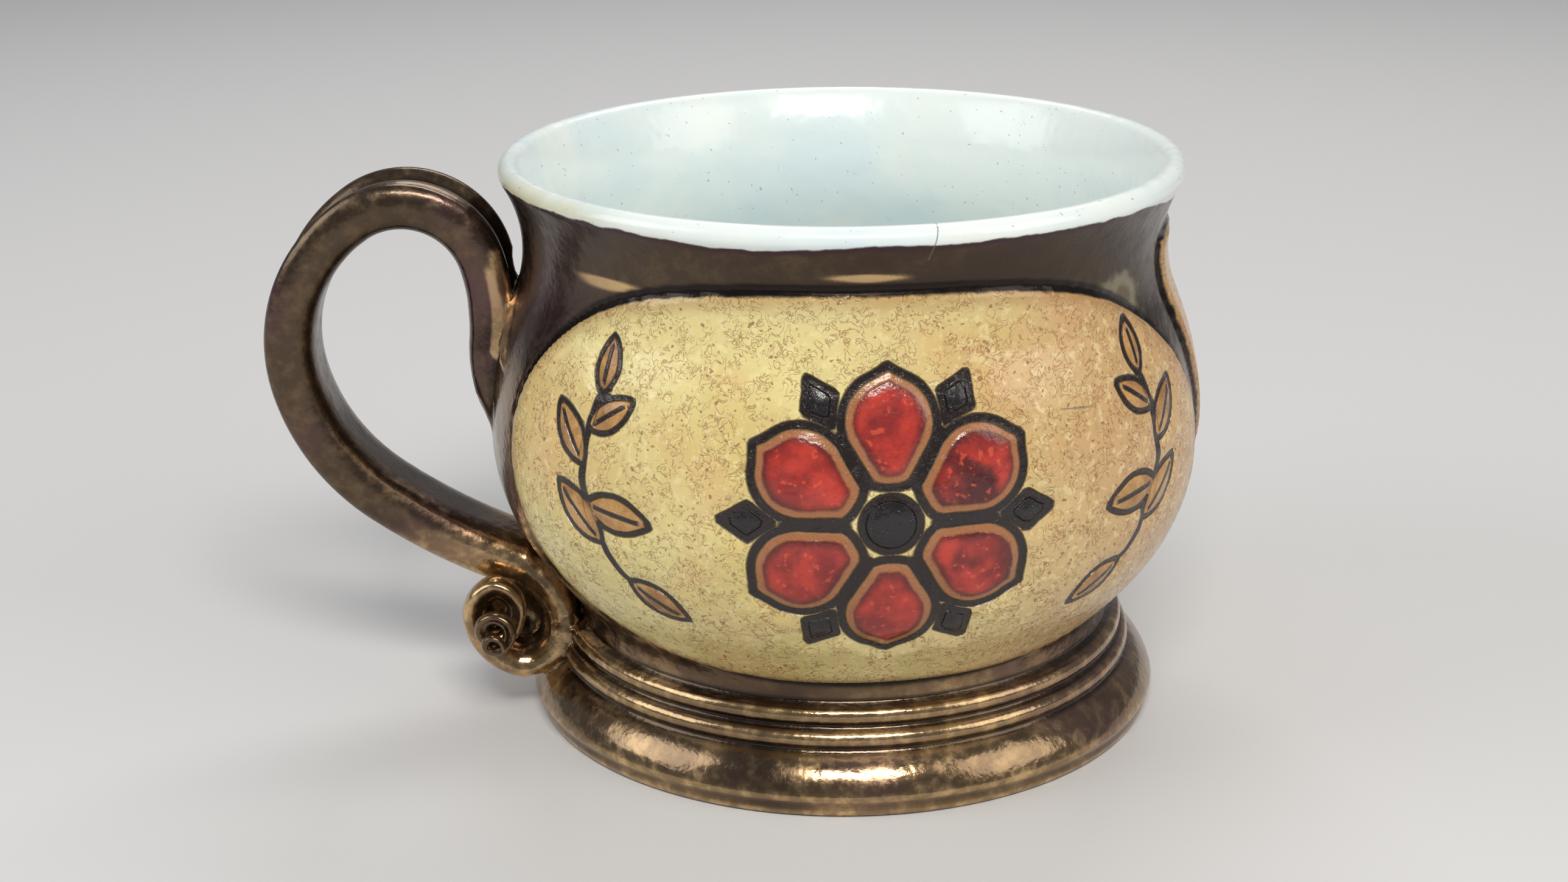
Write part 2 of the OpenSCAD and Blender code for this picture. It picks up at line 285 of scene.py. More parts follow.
# %% [markdown]
# Two sections are used. The strap's has a hollow between two beads on its outer face, where
# the thumb has run, and a low ridge in the middle of it. The rolled tail's is a plain rounded
# band. Both have the same number of points, so one can pass into the other. `through` is
# positive on the outer face.
# %% Sections
STRAP_W, STRAP_T, HANDLE_TURN = 14.7, 7.2, 3.8
strap_half = np.array([
    (0, 0.40), (0.11, 0.385), (0.22, 0.34), (0.33, 0.27), (0.42, 0.22), (0.50, 0.27), (0.60, 0.38),
    (0.70, 0.475), (0.79, 0.50), (0.88, 0.45), (0.95, 0.33), (0.99, 0.17), (1.0, 0.0), (0.97, -0.18),
    (0.90, -0.33), (0.78, -0.43), (0.60, -0.48), (0.38, -0.50), (0.18, -0.50),
])
around = np.radians(180 * np.arange(len(strap_half)) / (len(strap_half) - 0.5))
through = 0.5 * np.sign(np.cos(around)) * abs(np.cos(around)) ** 0.8
tail_half = np.stack([np.sin(around) ** 0.8, through], 1)
TAIL_LEAN = 0.5


def handle_ring(place, heading, wide, thick, side, roll):
    """Ring of points at one place of the path; `roll` is 0 for the strap, 1 for the tail."""
    half = strap_half * (1 - roll) + tail_half * roll
    section = np.vstack([half * (-1, 1), half[:0:-1]])
    out = np.array([math.sin(heading), -math.cos(heading)])
    flat = place + section[:, 1:] * out * thick
    across = side + roll * TAIL_LEAN * thick * section[:, 1] + section[:, 0] * wide / 2
    return np.stack([flat[:, 0], across, flat[:, 1]], 1)


# %% [markdown]
# The middle line is again a chain of arcs, as (radius, turn), walked from inside the wall at
# the top joint round the loop. A negative turn bends the other way: the last arc dips into
# the roll beside the foot, where the strap's section passes into the tail's.
# %% Path of the strap
HANDLE_ARCS = [
    (22, -38), (26.6, 27.5), (12.25, 107.4), (23.5, 69.8), (32, 39.2), (83.3, 15.5), (9.87, -68.4),
]


def walk(place, heading, arcs, step):
    """Places and headings along the arcs, a step in degrees apart, and how many arcs are done."""
    path = [(np.array(place), math.radians(heading), 0)]
    for number, (radius, turn) in enumerate(arcs):
        count = math.ceil(abs(turn) / step)
        start, first = path[-1][0], path[-1][1]
        for i in range(1, count + 1):
            last = first + math.radians(turn) * i / count
            r = math.copysign(radius, turn)
            shift = [math.sin(last) - math.sin(first), math.cos(first) - math.cos(last)]
            path.append((start + r * np.array(shift), last, number + i / count))
    return path


def table(*rows):
    """A function that reads values between the rows of a short table."""
    rows = np.array(rows, float)
    return lambda t: np.interp(t, rows[:, 0], rows[:, 1])


tail_wide = table(
    (0, 15), (0.2, 14), (0.35, 10.5), (0.5, 7.4), (0.65, 5.6), (0.8, 5), (1, 4.6), (1.3, 3.4),
    (1.5, 3.2), (2, 2.7), (2.5, 2.3), (3, 1.7),
)
tail_near = table((0, -10.9), (0.5, -12), (1, -14), (1.5, -16), (2, -18), (2.5, -19.6), (3, -20.4))
strap_wide = table((0, 19.0), (0.5, 18.0), (1, 16.4), (1.6, STRAP_W), (6, STRAP_W), (7, 15))
strap_thick = table((0, 2.2), (0.5, 4.4), (1, 6.6), (1.4, STRAP_T), (6, STRAP_T), (7, 7))
START, START_HEADING, TURN_STEP = (-50.5, 42.9), 117, 2.5
rings = []
for place, heading, done in walk(START, START_HEADING, HANDLE_ARCS, TURN_STEP):
    roll = max(0, done - 6)
    side = roll * (tail_near(0) + tail_wide(0) / 2)
    rings.append(handle_ring(place, heading, strap_wide(done), strap_thick(done), side, roll))
print(len(rings), "rings in the strap")

# %% [markdown]
# ## The snail
# The strip's tail is rolled up like a snail that steps out towards the viewer: the turns get
# smaller and thinner as they go. The tables give the roll's middle, outer radius and
# thickness against the number of turns. A short plug of clay closes the far side of the roll.
# %% Snail
roll_x = table((0.25, -50), (0.5, -52.4), (0.75, -53.1), (1, -53.2), (2, -52.6), (3, -52.9))
roll_z = table((0.25, 13.2), (0.5, 15.3), (0.75, 16.2), (1, 16.3), (2, 15.8), (3, 14.4))
roll_r = table(
    (0, 9.7), (0.12, 8.8), (0.25, 7.9), (0.38, 6.85), (0.5, 5.95), (0.62, 6.2), (0.75, 6.55),
    (0.87, 5.75), (1, 4.5), (1.12, 3.95), (1.25, 3.7), (1.5, 3.3), (1.75, 3.0), (2, 2.8),
    (2.5, 2.2), (3, 1.6),
)
tail_thick = table(
    (0, 7), (0.25, 5.8), (0.5, 4.4), (1, 3.3), (1.5, 2.5), (2, 2), (2.5, 1.5), (3, 0.7),
)
TURNS, STEPS = 3, 54
for t in np.linspace(0, TURNS, TURNS * STEPS + 1)[1:]:
    angle = 2 * math.pi * t
    middle = roll_r(t) - tail_thick(t) / 2
    place = np.array([roll_x(t) + middle * math.cos(angle), roll_z(t) - middle * math.sin(angle)])
    side = tail_near(t) + tail_wide(t) / 2
    rings.append(handle_ring(place, -math.pi / 2 - angle, tail_wide(t), tail_thick(t), side, 1))
handle = sweep("handle", rings)

# %% [markdown]
# The plug is a cylinder whose rims are rounded with a bevel. Only its two caps have more than
# four corners, so the caps are picked by that.
# %% Plug
clear_selection()
bpy.ops.mesh.primitive_cylinder_add(
    vertices=48, radius=6 * MM, depth=9 * MM,
    location=(-49.8 * MM, -2 * MM, 14.6 * MM), rotation=(math.pi / 2, 0, 0),
)
plug = bpy.context.object
bpy.ops.object.transform_apply(location=True, rotation=True, scale=True)
bpy.ops.object.mode_set(mode="EDIT")
bpy.context.tool_settings.mesh_select_mode = (False, False, True)
bpy.ops.mesh.select_all(action="DESELECT")
bpy.ops.object.mode_set(mode="OBJECT")
for face in plug.data.polygons:
    face.select = len(face.vertices) > 4
bpy.ops.object.mode_set(mode="EDIT")
bpy.ops.mesh.bevel(offset=1.2 * MM, segments=4)
bpy.ops.object.mode_set(mode="OBJECT")
print("plug", len(plug.data.polygons), "faces")

# %% [markdown]
# ## Joining the clay
# Handle and pot are pressed together while the clay is soft, and slip fills the corner. Here
# a Boolean union joins them. Faces of the handle carry the second material slot, so the seam is
# every edge where the slots differ: its vertices are selected, grown and smoothed into a soft
# fillet.
# %% Union and fillet
glazes = bpy.data.materials.new("cup_glazes")
lustre = bpy.data.materials.new("handle_lustre")
for piece in (cup, handle, plug):
    piece.data.materials.append(glazes)
    piece.data.materials.append(lustre)
for piece in (handle, plug):
    piece.data.polygons.foreach_set("material_index", np.ones(len(piece.data.polygons), int))
    choose(piece)
    bpy.ops.object.mode_set(mode="EDIT")
    bpy.ops.mesh.select_all(action="SELECT")
    bpy.ops.transform.rotate(
        value=-math.radians(HANDLE_TURN), orient_axis="Z", center_override=(0, 0, 0),
    )
    bpy.ops.object.mode_set(mode="OBJECT")
print("handle leans to y =", round(min(v.co.y for v in handle.data.vertices) / MM, 1), "mm")


def unite(body, piece):
    choose(body)
    join = body.modifiers.new("join", "BOOLEAN")
    join.operation = "UNION"
    join.solver = "EXACT"
    join.object = piece
    bpy.ops.object.modifier_apply(modifier="join")
    bpy.data.objects.remove(piece)


unite(cup, handle)
unite(cup, plug)
seam = bmesh.new()
seam.from_mesh(cup.data)
for parts in (seam.verts, seam.edges, seam.faces):
    for part in parts:
        part.select = False
seam_edges = [e for e in seam.edges if len({face.material_index for face in e.link_faces}) == 2]
for edge in seam_edges:
    edge.select_set(True)
print("joined, with", len(seam_edges), "seam edges")
seam.to_mesh(cup.data)
seam.free()
bpy.context.tool_settings.mesh_select_mode = (True, False, False)
bpy.ops.object.mode_set(mode="EDIT")
for _ in range(3):
    bpy.ops.mesh.select_more()
bpy.ops.mesh.vertices_smooth(factor=0.5, repeat=8)
bpy.ops.object.mode_set(mode="OBJECT")
print("joined:", len(cup.data.polygons), "faces")

# %% [markdown]
# ## A map of the surface
# Carving and glaze zones are all drawn on the pot's side, so each vertex gets map
# coordinates: its turn round the cup from the front, and its height along the wall. The
# distances to each carved outline, in millimetres and positive inside, are kept as attributes,
# and the materials read them to place each glaze.
# %% Surface map
mesh = cup.data


def vertex_rows(name):
    """The places ("co") or normals of all the vertices, a row for each."""
    flat = np.empty(len(mesh.vertices) * 3)
    mesh.vertices.foreach_get(name, flat)
    return flat.reshape(-1, 3)


places = vertex_rows("co") / MM
radius = np.hypot(places[:, 0], places[:, 1])
turn = np.degrees(np.arctan2(places[:, 0], -places[:, 1]))
height = places[:, 2]
side_line = np.vstack([foot_side, outer_side[1:]])
wall_r = np.interp(height, side_line[:, 1], side_line[:, 0])
on_handle = np.zeros(len(places), bool)
for face in mesh.polygons:
    if face.material_index == 1:
        on_handle[list(face.vertices)] = True
on_side = (height > 15) & (height < 80) & (radius > wall_r - 1.5) & ~on_handle
climb = np.append(0, np.cumsum(np.hypot(*np.diff(outer_side, axis=0).T)))
along = np.interp(height, outer_side[:, 1], climb)
print(on_side.sum(), "vertices on the side,", round(climb[-1], 1), "mm of wall")


def segment_distance(points, line):
    """Shortest distance from each point to a chain of points, in 2 or 3 dimensions."""
    best = np.full(len(points), 1e9)
    for a, b in zip(line, line[1:]):
        ab = b - a
        share = np.clip(((points - a) @ ab) / max(ab @ ab, 1e-12), 0, 1)
        best = np.minimum(best, ((points - a - share[:, None] * ab) ** 2).sum(1))
    return np.sqrt(best)


def shape_distance(points, outline):
    """Distance to a closed outline on the map, positive inside."""
    ring = np.vstack([outline, outline[:1]])
    inside = np.zeros(len(points), bool)
    for (x0, y0), (x1, y1) in zip(ring, ring[1:]):
        if y0 != y1:
            crosses = (points[:, 1] > min(y0, y1)) & (points[:, 1] <= max(y0, y1))
            inside ^= crosses & (points[:, 0] < x0 + (points[:, 1] - y0) * (x1 - x0) / (y1 - y0))
    distance = segment_distance(points, ring)
    return np.where(inside, distance, -distance)


# %% [markdown]
# The two panels are bounded by outlines given as left and right edges, in degrees of turn,
# against an angle that runs from the panel's bottom to its top. The distance is measured in
# space, between points that lie on the wall. Vertices off the wall get a distance far outside.
# %% Panels
HANDLE_AT = -90 - HANDLE_TURN
PANEL_Z, PANEL_HALF = 47, 28.6
OUTSIDE = -20.0


def signed_turn(angle):
    """The same turn between -180 and 180 degrees."""
    return (angle + 180) % 360 - 180


def front_edges(a):
    half = 67 * np.maximum(np.cos(a), 0) ** np.where(a > 0, 0.7, 0.5)
    middle = 6 - 3 * np.sin(a)
    return middle - half, middle + half


def back_edges(a):
    s = np.sin(a)
    left = 72.5 + 29 * ((1 - s) / 2) ** 1.5 + 16 * np.clip((s - 0.93) / 0.07, 0, 1) ** 2
    return left, 360 + 2 * HANDLE_AT - front_edges(a)[0]


def panel_distance(edges):
    a = np.radians(np.linspace(-90, 90, 241))
    z = PANEL_Z + PANEL_HALF * np.sin(a)
    left, right = edges(a)
    turns = np.concatenate([left, right[::-1], left[:1]])
    heights = np.concatenate([z, z[::-1], z[:1]])
    walked = np.append(0, np.cumsum(np.hypot(np.diff(turns), np.diff(heights))))
    even = np.linspace(0, walked[-1], 420)
    turns, heights = np.interp(even, walked, turns), np.interp(even, walked, heights)
    r = np.interp(heights, outer_side[:, 1], outer_side[:, 0])
    rad = np.radians(turns)
    line = np.stack([r * np.sin(rad), -r * np.cos(rad), heights], 1)
    distance = np.full(len(places), -OUTSIDE)
    distance[on_side] = segment_distance(places[on_side], line)
    level = np.arcsin(np.clip((height - PANEL_Z) / PANEL_HALF, -1, 1))
    low, high = edges(level)
    here = signed_turn(turn - (low + high) / 2)
    inside = on_side & (abs(here) < (high - low) / 2) & (abs(height - PANEL_Z) < PANEL_HALF)
    return np.where(inside, distance, -distance)


panel = np.maximum(panel_distance(front_edges), panel_distance(back_edges))
print("panels cover", (panel > 0).sum(), "vertices")

# %% [markdown]
# ## The flower
# Each panel is carved with one round flower between two sprigs of leaves. The flower is six
# petals round a boss, with a small black leaf showing in each notch. Petals, notches and
# leaves are drawn once as outlines about their own middle, then turned and mirrored.
# %% Outlines of petal, leaf and notch
def petal_outline():
    hub, cap_at, cap_r = 5.3, 13.6, 6.1
    lean = math.asin(cap_r / cap_at)
    arc_part = np.linspace(-math.pi / 2 - lean + 0.02, 0, 22)
    cap = np.stack([cap_at + cap_r * np.cos(arc_part), cap_r * np.sin(arc_part)], 1)
    cap[:, 0] += 0.9 * np.clip(1 - abs(cap[:, 1]) / 2.4, 0, 1) ** 2
    root = np.array([(hub, -0.9), (hub + 0.35, -hub * math.tan(lean) * 0.86)])
    lower = np.vstack([root, cap])
    return np.vstack([lower, lower[-2::-1] * (1, -1)])


def leaf_outline(length, width):
    t = np.linspace(0, 1, 16)
    half = width / 2 * np.sin(math.pi * t ** 0.9) ** 0.85
    return np.vstack([np.stack([t * length, half], 1), np.stack([t * length, -half], 1)[-2:0:-1]])


def placed(outline, angle, offset=(0, 0)):
    """The outline turned by an angle and moved."""
    c, s = math.cos(math.radians(angle)), math.sin(math.radians(angle))
    return outline @ np.array([[c, s], [-s, c]]) + offset


notch = np.array([
    (15.3, 0), (16.6, 0.75), (18.6, 2.3), (20.2, 1.2), (22.2, 0), (20.2, -1.2), (18.6, -2.3),
    (16.6, -0.75),
])
stem_t = np.linspace(0, 1, 24)
stem = np.stack([9.5 * (1 - stem_t) ** 2 - 3.5 * np.sin(math.pi * stem_t), -17 + 31 * stem_t], 1)
leaves = []
for at, lean, length in (
    (0.16, -32, 9.5), (0.34, 138, 10.5), (0.5, -6, 10.5),
    (0.68, 128, 9.5), (0.84, 34, 8.5), (1.0, 88, 8.0),
):
    spot = np.array([np.interp(at, stem_t, stem[:, 0]), np.interp(at, stem_t, stem[:, 1])])
    leaves.append((spot, lean, length))
print(len(petal_outline()), "points round a petal,", len(leaves), "leaves on a stem")

# %% [markdown]
# In clay these would be scratched round a paper pattern. Here each vertex on the wall looks up
# how deep it lies inside each outline, which costs no extra mesh and lets every glaze find its
# own edge. The back's flower stands opposite the front's, mirrored about the handle.
# %% Draw flowers and sprigs
petal = np.full(len(places), OUTSIDE)
black, leaf, span = petal.copy(), petal.copy(), petal.copy()
stem_side, vein = -petal, -petal
MAP_R, FLOWER_TURN, FLOWER_Z, SPRIG_TURN, BOSS_R = 52, 7.0, 46, 46, 3.6


def spots_round(centre):
    """Which vertices lie round a middle on the map, and their places from it in mm."""
    across = MAP_R * np.radians(signed_turn(turn - centre))
    up = along - np.interp(FLOWER_Z, outer_side[:, 1], climb)
    near = on_side & (abs(across) < 27) & (abs(up) < 30)
    return near, np.stack([across, up], 1)[near]


def draw_flower(centre):
    near, spots = spots_round(centre)
    black[near] = np.maximum(black[near], BOSS_R - np.hypot(*spots.T))
    for angle in range(0, 360, 60):
        inside = shape_distance(spots, placed(petal_outline(), angle + 90))
        petal[near] = np.maximum(petal[near], inside)
        inside = shape_distance(spots, placed(notch, angle + 60))
        black[near] = np.maximum(black[near], inside)


def draw_sprig(centre, mirror):
    near, spots = spots_round(centre)
    spots = spots * (mirror, 1)
    aside = spots[:, 0] - np.interp(spots[:, 1], stem[:, 1], stem[:, 0])
    stem_side[near] = np.where(abs(aside) < abs(stem_side[near]), aside, stem_side[near])
    inside = np.minimum(spots[:, 1] - stem[0, 1], stem[-1, 1] - spots[:, 1])
    span[near] = np.where(abs(aside) < 4, np.maximum(span[near], inside), span[near])
    for spot, lean, length in leaves:
        inside = shape_distance(spots, placed(leaf_outline(length, 0.46 * length), lean, spot))
        c, t = math.cos(math.radians(lean)), math.sin(math.radians(lean))
        across_leaf = (spots - spot) @ np.array([-t, c])
        vein[near] = np.where(inside > leaf[near], across_leaf, vein[near])
        leaf[near] = np.maximum(leaf[near], inside)


for middle in (FLOWER_TURN, 360 + 2 * HANDLE_AT - FLOWER_TURN):
    draw_flower(middle)
    draw_sprig(middle - SPRIG_TURN, 1)
    draw_sprig(middle + SPRIG_TURN, -1)
print("petals cover", (petal > 0).sum(), "vertices, leaves", (leaf > 0).sum())

# %% [markdown]
# ## Relief
# The panels stand a little proud of the wall. Round the flower and the leaves their ground is
# scraped down, and petals, boss and leaves swell up from it again like small cushions, as high
# as the panel. Two fingers have drawn the slip down from the handle's top joint and left a pair
# of ridges. These soft forms are real shape, moved along the vertex normals. The narrow cut
# lines are left to the materials' bump, which is sharper than the mesh.
# %% Relief
def ease(value, start, end):
    t = np.clip((value - start) / (end - start), 0, 1)
    return t * t * (3 - 2 * t)


strap_ridge = np.array([
    (-50.8, -9.4, 71.5), (-50.5, -10.2, 68.0), (-49.9, -10.4, 64.1), (-49.9, -10.9, 60.6),
    (-50.4, -11.4, 57.0),
])
neck_ridge = np.array([
    (-48.2, -9.4, 68.0), (-48.2, -10.4, 64.0), (-48.4, -12.2, 61.8), (-48.8, -14.6, 58.8),
    (-48.9, -15.8, 57.0),
])
near_joint = (abs(height - 64) < 12) & (places[:, 0] < -40) & (places[:, 1] < 0)
finger = np.full(len(places), 9.0)
for line in (strap_ridge, neck_ridge):
    away = segment_distance(places[near_joint], line)
    finger[near_joint] = np.minimum(finger[near_joint], away)
rise = 0.9 * ease(panel, -0.5, 0.6)
rise += 0.7 * ease(-finger, -1.5, -0.2) * (panel < -1.8)
rise -= 0.5 * ease(np.maximum(petal, black), -3.0, -0.3) + 0.28 * ease(leaf, -2.0, -0.2)
rise += 0.5 * ease(petal, -0.3, 2.4) + 0.28 * ease(leaf, -0.3, 1.4) + 0.4 * ease(black, -0.2, 1.6)
rise -= 0.35 * ease(panel, -1.6, -1.0) * ease(-panel, -0.1, 0.4)
print("relief from", round(rise.min(), 2), "to", round(rise.max(), 2), "mm")

# %% [markdown]
# The white glaze was poured inside and wiped off below the lip, so it ends at its own height for each
# turn round the cup, read from a short table. The handle has no white: there the same number fades from
# the neck's brown above, a painted shade, to the foot's gold below, partly a painted highlight.
# %% Edge of the white glaze
glaze_edge = table(
    (-180, 82.4), (-122, 82.9), (-96, 82.2), (-62, 83), (-58, 83), (-44, 83), (-31.6, 82.7),
    (-21, 82), (-10, 81.9), (-1, 82.5), (6, 82.7), (19, 82.6), (31, 82.7), (43.5, 82.5),
    (57, 82.4), (71, 80.8), (95, 82), (130, 82.8), (180, 82.4),
)
inner = (radius < wall_r - 1.2) & (height > 8.5) & ~on_handle
over_lip = (height > 81) & (radius < lip_c[0])
white = np.where(inner | over_lip, 10.0, height - glaze_edge(turn))
# On the handle: painted shade above, partly painted highlight below.
white[on_handle] = -10 - 20 * ease(-height[on_handle], -34, -24)
print("white glaze covers", (white > 0).sum(), "vertices")

# %% [markdown]
# Small marks make the cup a single real one: gold streaks where the lustre was rubbed, a greyish stain
# on the neck, a fine crack in the lip and one in the panel. The finger ridges at the handle's joint
# share the gold streaks' number, as a painted highlight. They are numbers at the vertices like the
# outlines, and they are stored together on the mesh, now that it takes its final shape.
# %% Marks and attributes
def mark(turn_at, z_at, half_turn, half_height):
    """How far inside a soft oval on the wall each vertex lies: 1 in its middle, 0 at its edge."""
    oval = np.hypot((turn - turn_at) / half_turn, (height - z_at) / half_height)
    return np.where(on_handle, -1.0, 1 - oval)


streak_and_glint = np.maximum(mark(-42, 74, 10, 1.0), mark(4, 78, 8, 0.8))
# Painted highlight: the finger ridges join the gold streaks.
streak_and_glint = np.maximum(streak_and_glint, ease(-finger, -1.5, -0.3))
stain, stain_core = mark(54, 69, 9, 6), mark(55, 69.5, 3.6, 2.4)
crack_line = np.where(height > 70, 13.2 + 0.28 * (height - 80.3), 37.0)
crack = np.where(height > 70, MAP_R * np.radians(turn - crack_line), height - 58 + 0.1 * (turn - 37))
reach = np.where(height > 70, height - 80.2, 3.0 - abs(turn - 37))
places += vertex_rows("normal") * rise[:, None]
mesh.vertices.foreach_set("co", (places * MM).ravel())
for name, values in (
    ("panel", panel), ("petal", petal), ("black", black), ("leaf", leaf), ("vein", vein),
    ("stem", stem_side), ("span", span), ("white", white), ("turn", turn), ("streak_and_glint", streak_and_glint),
    ("stain", stain), ("stain_core", stain_core), ("crack", crack), ("reach", reach),
):
    attribute = mesh.attributes.new(name, "FLOAT", "POINT")
    attribute.data.foreach_set("value", values.astype(np.float32))
mesh.update()
choose(cup)
bpy.ops.object.shade_smooth()
print("attributes:", [a.name for a in mesh.attributes if a.data_type == "FLOAT"])

# %% [markdown]
# The bronze glaze paints gold on crests, a painted highlight, and near black in corners, a painted
# shade. For that, each vertex measures how far it stands above the middle of its neighbours, which is a
# simple form of curvature, and the bronze glaze reads it.
# %% Crests and hollows
edges = np.empty(len(mesh.edges) * 2, int)
mesh.edges.foreach_get("vertices", edges)
edges = edges.reshape(-1, 2)
shared = np.maximum(np.bincount(edges.ravel(), minlength=len(places)), 1)


def neighbour_mean(values):
    total = np.zeros_like(values)
    np.add.at(total, edges[:, 0], values[edges[:, 1]])
    np.add.at(total, edges[:, 1], values[edges[:, 0]])
    return (total.T / shared).T


crest = ((places - neighbour_mean(places)) * vertex_rows("normal")).sum(1)
for _ in range(4):
    crest = 0.5 * crest + 0.5 * neighbour_mean(crest)
attribute = mesh.attributes.new("crest", "FLOAT", "POINT")
attribute.data.foreach_set("value", crest.astype(np.float32))
print("crests from", np.round(np.percentile(crest, (1, 50, 99)), 3), "mm")

# %% [markdown]
# ## Glazes
# A glaze could be painted as a picture, but a picture blurs close up and needs a map. Here each
# one is a small group of nodes, built from noise and from the numbers at the vertices. These
# helpers make nodes and groups, so that the cells after them read as recipes.
# %% Nodes and groups
def screen(r, g, b):
    """A colour read off a screen, 0 to 255, as the linear colour that nodes expect."""
    return tuple(((c / 255 + 0.055) / 1.055) ** 2.4 for c in (r, g, b)) + (1.0,)


def group(name, inputs, outputs):
    """A new node group, with the sockets that bring its inputs and take its results."""
    tree = bpy.data.node_groups.new(name, "ShaderNodeTree")
    for label, value in inputs:
        socket = tree.interface.new_socket(label, in_out="INPUT", socket_type="NodeSocketFloat")
        socket.default_value = value
    for label in outputs:
        kind = "NodeSocketColor" if label == "Colour" else "NodeSocketFloat"
        tree.interface.new_socket(label, in_out="OUTPUT", socket_type=kind)
    given = tree.nodes.new("NodeGroupInput").outputs
    result = tree.nodes.new("NodeGroupOutput").inputs
    return tree, given, result


def feed(tree, socket, value):
    """Links the value if it is another node's socket, or else sets it as a constant."""
    if isinstance(value, bpy.types.NodeSocket):
        tree.links.new(value, socket)
    else:
        socket.default_value = value


def node(tree, kind, settings=None, **links):
    """Adds a node. A link's key names the socket, with _ for a space, or is i and its number."""
    made = tree.nodes.new(kind)
    for key, value in (settings or {}).items():
        setattr(made, key, value)
    for key, value in links.items():
        by_number = key[0] == "i" and key[1:].isdigit()
        feed(tree, made.inputs[int(key[1:]) if by_number else key.replace("_", " ")], value)
    return made


def math_node(tree, operation, *values, clamp=False):
    made = node(tree, "ShaderNodeMath", {"operation": operation, "use_clamp": clamp})
    for socket, value in zip(made.inputs, values):
        feed(tree, socket, value)
    return made.outputs[0]


print("a mid grey of 128 is", round(screen(128, 128, 128)[0], 3), "in linear light")

# %% [markdown]
# The recipes need sums, blends, noise and the vertex numbers again and again, so each gets a
# short name. `noise` always uses object coordinates, which keeps the pattern fixed to the clay.
# %% Sums, blends and noise
def times(tree, first, second):
    return math_node(tree, "MULTIPLY", first, second)


def plus(tree, first, second, clamp=False):
    return math_node(tree, "ADD", first, second, clamp=clamp)


def minus(tree, first, second, clamp=False):
    return math_node(tree, "SUBTRACT", first, second, clamp=clamp)


def larger(tree, first, second):
    return math_node(tree, "MAXIMUM", first, second)


def ramp(tree, value, start, end):
    """Rises smoothly from 0 to 1 as the value goes from start to end."""
    made = node(
        tree, "ShaderNodeMapRange", {"interpolation_type": "SMOOTHSTEP"},
        Value=value, From_Min=start, From_Max=end, To_Min=0.0, To_Max=1.0,
    )
    return made.outputs[0]


def blend(tree, share, first, second):
    made = node(tree, "ShaderNodeMix", {"data_type": "RGBA"}, i0=share, i6=first, i7=second)
    return made.outputs[2]


def blend_values(tree, share, first, second):
    return node(tree, "ShaderNodeMix", i0=share, i2=first, i3=second).outputs[0]


def noise(tree, scale, detail=3.0, rough=0.55, warp=0.0):
    where = node(tree, "ShaderNodeTexCoord").outputs["Object"]
    made = node(
        tree, "ShaderNodeTexNoise",
        Vector=where, Scale=scale, Detail=detail, Roughness=rough, Distortion=warp,
    )
    return made.outputs[0]


def read(tree, name):
    return node(tree, "ShaderNodeAttribute", {"attribute_name": name}).outputs["Fac"]


def add_group(tree, made, **links):
    return node(tree, "ShaderNodeGroup", {"node_tree": made}, **links)


# %% [markdown]
# Brushed glaze never ends in a clean line. This group shifts a distance by some noise before it
# is turned into a soft mask, so every glaze edge wanders a little.
# %% Uneven zones
zone, given, result = group(
    "uneven_zone",
    [("Distance", 0.0), ("Start", 0.0), ("End", 0.3), ("Wobble", 0.4), ("Scale", 400.0)],
    ["Mask"],
)
shift = times(zone, minus(zone, noise(zone, given["Scale"]), 0.5), given["Wobble"])
distance = plus(zone, given["Distance"], shift)
zone.links.new(ramp(zone, distance, given["Start"], given["End"]), result["Mask"])


def zone_mask(tree, distance, start, end, wobble=0.4, scale=400.0):
    links = {"Distance": distance, "Start": start, "End": end, "Wobble": wobble, "Scale": scale}
    return add_group(tree, zone, **links).outputs[0]


def near_line(tree, name, start, end, wobble):
    """A mask on both sides of the line where an attribute is 0."""
    return zone_mask(tree, math_node(tree, "ABSOLUTE", read(tree, name)), start, end, wobble)


print("node groups:", [g.name for g in bpy.data.node_groups])

# %% [markdown]
# The bronze is a lustre: a metal film over dark clay. Dark brown and gold lie in clouds. Gold is also
# painted on crests and on the two finger ridges at the handle's joint, as painted highlight, and on the
# rubbed streaks of the neck; corners are painted nearly black, as painted shade. The neck and the strap
# are duller than the foot, and are painted browner and darker, a painted shade for their dark
# reflection, while the foot keeps the brighter gold, partly a painted highlight. A violet cast drifts
# through it all, as thin films have.
# %% Bronze lustre
# Near black for the groove round the panels, and for the painted shade in hollows.
GROOVE_AND_SHADE_BLACK = (0.02, 0.014, 0.012, 1)
DARK_BRONZE, GOLD = (0.082, 0.052, 0.036, 1), (0.72, 0.49, 0.24, 1)
# The neck's brown is painted shade.
NECK_SHADE_BROWN, VIOLET = (0.044, 0.032, 0.025, 1), (0.16, 0.075, 0.095, 1)
bronze, _, result = group("bronze_lustre", [], ["Colour", "Roughness", "Height"])
clouds = ramp(bronze, noise(bronze, 48.0, 2.5, 0.55, 0.3), 0.26, 0.70)
streaks = ramp(bronze, noise(bronze, 420.0, 4.0, 0.6), 0.40, 0.72)
# Painted highlight: gold on crests. Painted shade: near black in hollows.
high = ramp(bronze, read(bronze, "crest"), 0.004, 0.045)
low = ramp(bronze, read(bronze, "crest"), -0.004, -0.05)
upper = ramp(bronze, read(bronze, "white"), -30.0, -16.0)
# Rubbed gold streaks on the neck, and the finger ridges as painted highlight.
rubbed_and_glint = ramp(bronze, read(bronze, "streak_and_glint"), 0.0, 0.5)
gold = plus(bronze, times(bronze, clouds, 0.7), times(bronze, high, 0.8), clamp=True)
gold = times(bronze, gold, plus(bronze, times(bronze, streaks, 0.6), 0.4))
